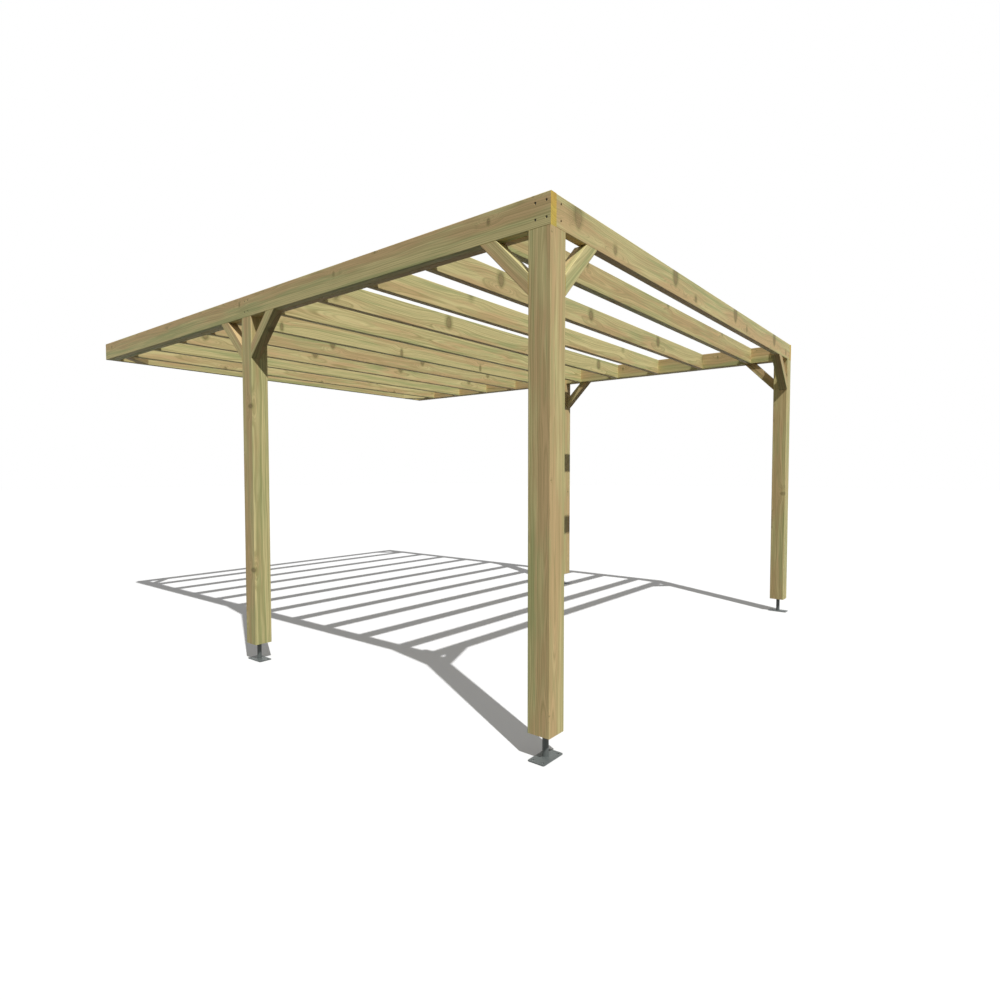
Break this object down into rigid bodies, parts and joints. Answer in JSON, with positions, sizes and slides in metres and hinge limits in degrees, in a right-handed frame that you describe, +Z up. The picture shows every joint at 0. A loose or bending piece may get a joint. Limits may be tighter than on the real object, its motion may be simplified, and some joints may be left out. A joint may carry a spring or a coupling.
{
  "type": "lean-to pergola",
  "caption": "Flat open timber frame that leans on a house wall, with close rafters, knee braces and square posts on steel feet.",
  "frame": {"origin": "middle of the frame's footprint on the ground", "axes": "+X to the right along the front beam, +Y from the open front to the house wall, +Z up"},
  "size_m": [4.07, 5.02, 2.52],
  "materials": {
    "treated_softwood": "planed, pressure-treated, with green and brown streaks",
    "dark_steel": "dark grey coated, satin"
  },
  "bodies": {
    "root": {"beam_left": "treated_softwood", "beam_right": "treated_softwood", "beam_front": "treated_softwood", "beam_wall": "treated_softwood", "inner_board_left_front": "treated_softwood", "inner_board_left_rear": "treated_softwood", "inner_board_right_front": "treated_softwood", "inner_board_right_rear": "treated_softwood", "rafter_01": "treated_softwood", "rafter_02": "treated_softwood", "rafter_03": "treated_softwood", "rafter_04": "treated_softwood", "rafter_05": "treated_softwood", "rafter_06": "treated_softwood", "rafter_07": "treated_softwood", "rafter_08": "treated_softwood", "rafter_09": "treated_softwood", "rafter_10": "treated_softwood", "post_front_left": "treated_softwood", "post_front_right": "treated_softwood", "post_middle_left": "treated_softwood", "post_middle_right": "treated_softwood", "knee_brace_front_left_across": "treated_softwood", "knee_brace_front_left_along": "treated_softwood", "knee_brace_front_right_across": "treated_softwood", "knee_brace_front_right_along": "treated_softwood", "knee_brace_middle_left_to_front": "treated_softwood", "knee_brace_middle_left_to_wall": "treated_softwood", "knee_brace_middle_right_to_front": "treated_softwood", "knee_brace_middle_right_to_wall": "treated_softwood", "corner_brace_left": "treated_softwood", "corner_brace_right": "treated_softwood", "foot_plate_front_left": "dark_steel", "foot_plate_front_right": "dark_steel", "foot_plate_middle_left": "dark_steel", "foot_plate_middle_right": "dark_steel", "foot_stem_front_left": "dark_steel", "foot_stem_front_right": "dark_steel", "foot_stem_middle_left": "dark_steel", "foot_stem_middle_right": "dark_steel"}
  },
  "joints": []
}
